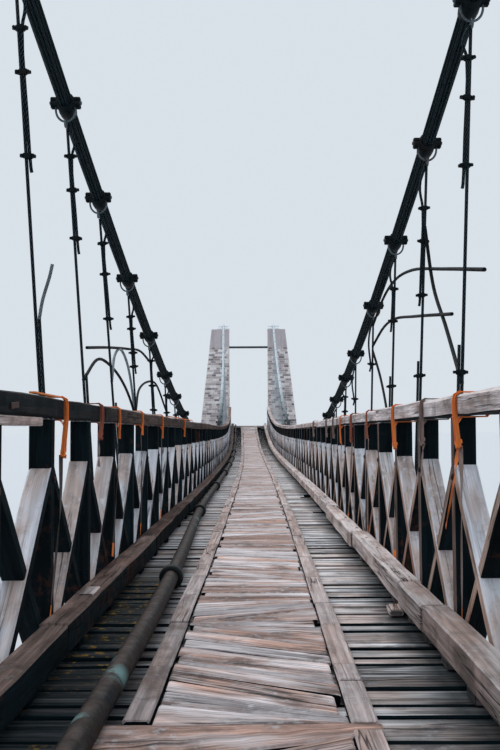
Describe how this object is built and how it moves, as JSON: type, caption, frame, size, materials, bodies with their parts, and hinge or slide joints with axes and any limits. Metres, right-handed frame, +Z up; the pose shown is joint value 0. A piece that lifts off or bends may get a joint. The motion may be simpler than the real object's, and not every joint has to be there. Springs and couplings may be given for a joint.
{
  "type": "suspension footbridge, half-size scale model",
  "caption": "Timber suspension footbridge at half size: cables and hangers carry a plank deck with crossed timber parapets between stone pylons.",
  "frame": {"origin": "middle of the bridge's bounding box on the level of its lowest ground", "axes": "+Y along the bridge from the near bank to the far bank, +X to the right across it, +Z up"},
  "size_m": [3.3132, 39.4, 4.7715],
  "materials": {
    "frame_timber": "rough sawn, weathered dark",
    "base_boards": "weathered bluish grey boards with dark gaps",
    "walkway_boards": "worn pinkish grey boards with brown edge strips",
    "brown_timber": "weathered dark brown",
    "grey_timber": "weathered silver grey",
    "wire_rope": "greased wire rope, nearly black",
    "pipe_steel": "old paint with rust",
    "beam_steel": "dark paint, rusted",
    "saddle_steel": "pale paint, weathered",
    "stone": "coursed rubble with pale mortar"
  },
  "bodies": {
    "root": {"floor_frame_1": "frame_timber", "floor_frame_2": "frame_timber", "floor_frame_3": "frame_timber", "floor_frame_4": "frame_timber", "base_boards_1": "base_boards", "walkway_boards_1": "walkway_boards", "base_boards_2": "base_boards", "walkway_boards_2": "walkway_boards", "base_boards_3": "base_boards", "walkway_boards_3": "walkway_boards", "water_pipe_1": "pipe_steel", "water_pipe_2": "pipe_steel", "water_pipe_3": "pipe_steel", "water_pipe_4": "pipe_steel", "left_kick_beam_1": "brown_timber", "left_kick_beam_2": "brown_timber", "left_kick_beam_3": "brown_timber", "left_kick_beam_4": "brown_timber", "left_kick_beam_5": "brown_timber", "left_kick_beam_6": "brown_timber", "left_truss_1": "brown_timber", "left_truss_2": "brown_timber", "left_truss_3": "brown_timber", "left_truss_4": "brown_timber", "left_top_rail_1": "brown_timber", "left_top_rail_2": "brown_timber", "left_top_rail_3": "brown_timber", "left_top_rail_4": "brown_timber", "right_kick_beam_1": "grey_timber", "right_kick_beam_2": "grey_timber", "right_kick_beam_3": "grey_timber", "right_kick_beam_4": "grey_timber", "right_kick_beam_5": "grey_timber", "right_kick_beam_6": "grey_timber", "right_truss_1": "grey_timber", "right_truss_2": "grey_timber", "right_truss_3": "grey_timber", "right_truss_4": "grey_timber", "right_top_rail_1": "grey_timber", "right_top_rail_2": "grey_timber", "right_top_rail_3": "grey_timber", "right_top_rail_4": "grey_timber", "left_cable_and_hangers": "wire_rope", "right_cable_and_hangers": "wire_rope", "near_portal_beam": "beam_steel", "near_abutment": "stone", "near_anchor_block": "stone", "near_left_pylon": "stone", "near_left_saddle": "saddle_steel", "near_right_pylon": "stone", "near_right_saddle": "saddle_steel", "far_portal_beam": "beam_steel", "far_abutment": "stone", "far_anchor_block": "stone", "far_left_pylon": "stone", "far_left_saddle": "saddle_steel", "far_right_pylon": "stone", "far_right_saddle": "saddle_steel"}
  },
  "joints": []
}
